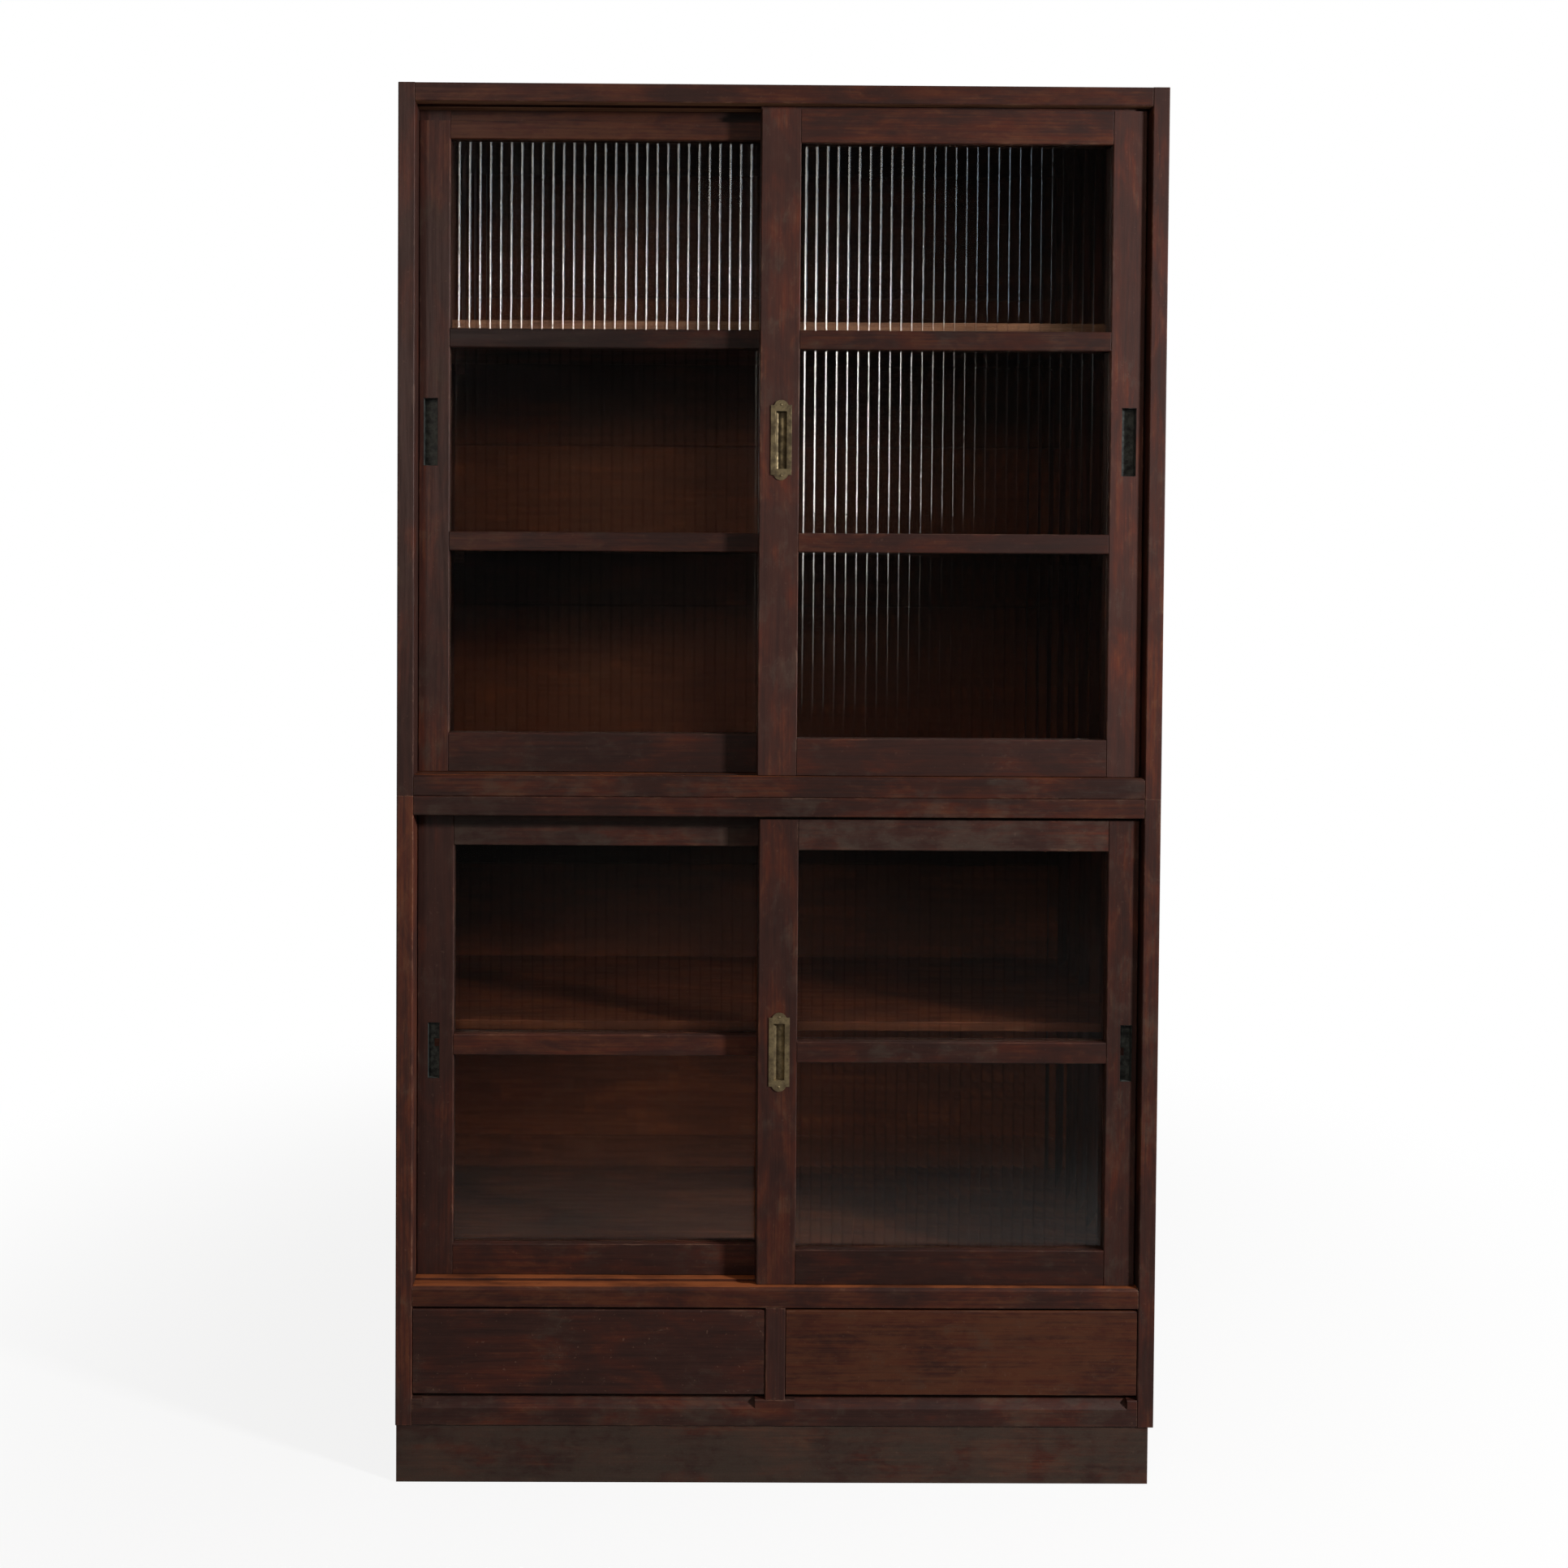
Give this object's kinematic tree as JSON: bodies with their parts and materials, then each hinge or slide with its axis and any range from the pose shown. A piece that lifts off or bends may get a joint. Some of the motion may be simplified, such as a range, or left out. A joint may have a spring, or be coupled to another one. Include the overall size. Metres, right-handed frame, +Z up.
{
  "type": "display cabinet",
  "caption": "Two-tier sliding-door display cabinet on a plinth, dark stained wood with fluted glass panes, shelves, recessed pulls and drawers below.",
  "frame": {"origin": "on the floor, under the middle of the cabinet's box", "axes": "+Z up, +X to the viewer's right, +Y from the doors to the back"},
  "size_m": [0.909, 0.38, 1.667],
  "materials": {
    "stained_wood": "dark red-brown stain, worn satin",
    "inner_wood": "thinner stain, matt",
    "raw_wood": "unfinished, aged",
    "fluted_glass": "clear, fluted in front",
    "aged_brass": "tarnished"
  },
  "bodies": {
    "case": {"plinth_frame": "stained_wood", "lower_left_side": "stained_wood", "lower_right_side": "stained_wood", "lower_bottom_board": "raw_wood", "drawer_rail": "stained_wood", "drawer_runners": "raw_wood", "drawer_divider": "stained_wood", "lower_sill_rail": "stained_wood", "lower_floor_board": "inner_wood", "lower_shelf": "inner_wood", "lower_head_rail": "stained_wood", "lower_top_board": "inner_wood", "lower_back_boards": "inner_wood", "upper_left_side": "stained_wood", "upper_right_side": "stained_wood", "upper_sill_rail": "stained_wood", "upper_floor_board": "inner_wood", "upper_shelves": "inner_wood", "upper_head_rail": "stained_wood", "upper_top_board": "inner_wood", "upper_back_boards": "inner_wood", "shelf_cleats": "inner_wood"},
    "upper_left_door": {"upper_left_door_left_stile": "stained_wood", "upper_left_door_right_stile": "stained_wood", "upper_left_door_top_rail": "stained_wood", "upper_left_door_mid_rails": "stained_wood", "upper_left_door_bottom_rail": "stained_wood", "upper_left_door_panes": "fluted_glass", "upper_left_door_beads": "stained_wood"},
    "upper_right_door": {"upper_right_door_left_stile": "stained_wood", "upper_right_door_right_stile": "stained_wood", "upper_right_door_top_rail": "stained_wood", "upper_right_door_mid_rails": "stained_wood", "upper_right_door_bottom_rail": "stained_wood", "upper_right_door_panes": "fluted_glass", "upper_right_door_beads": "stained_wood", "upper_right_door_brass_pull": "aged_brass"},
    "lower_left_door": {"lower_left_door_left_stile": "stained_wood", "lower_left_door_right_stile": "stained_wood", "lower_left_door_top_rail": "stained_wood", "lower_left_door_mid_rail": "stained_wood", "lower_left_door_bottom_rail": "stained_wood", "lower_left_door_panes": "fluted_glass", "lower_left_door_beads": "stained_wood"},
    "lower_right_door": {"lower_right_door_left_stile": "stained_wood", "lower_right_door_right_stile": "stained_wood", "lower_right_door_top_rail": "stained_wood", "lower_right_door_mid_rail": "stained_wood", "lower_right_door_bottom_rail": "stained_wood", "lower_right_door_panes": "fluted_glass", "lower_right_door_beads": "stained_wood", "lower_right_door_brass_pull": "aged_brass"},
    "left_drawer": {"left_drawer_front": "stained_wood", "left_drawer_sides": "raw_wood", "left_drawer_back": "raw_wood", "left_drawer_bottom": "raw_wood"},
    "right_drawer": {"right_drawer_front": "stained_wood", "right_drawer_sides": "raw_wood", "right_drawer_back": "raw_wood", "right_drawer_bottom": "raw_wood"}
  },
  "joints": [
    {"name": "upper_left_door_slide", "type": "slide", "parent": "case", "child": "upper_left_door", "axis": [1, 0, 0], "range_m": [0, 0.411]},
    {"name": "upper_right_door_slide", "type": "slide", "parent": "case", "child": "upper_right_door", "axis": [-1, 0, 0], "range_m": [-0.0035, 0.408]},
    {"name": "lower_left_door_slide", "type": "slide", "parent": "case", "child": "lower_left_door", "axis": [1, 0, 0], "range_m": [0, 0.413]},
    {"name": "lower_right_door_slide", "type": "slide", "parent": "case", "child": "lower_right_door", "axis": [-1, 0, 0], "range_m": [-0.0025, 0.411]},
    {"name": "left_drawer_slide", "type": "slide", "parent": "case", "child": "left_drawer", "axis": [0, -1, 0], "range_m": [0, 0.3]},
    {"name": "right_drawer_slide", "type": "slide", "parent": "case", "child": "right_drawer", "axis": [0, -1, 0], "range_m": [0, 0.3]}
  ]
}
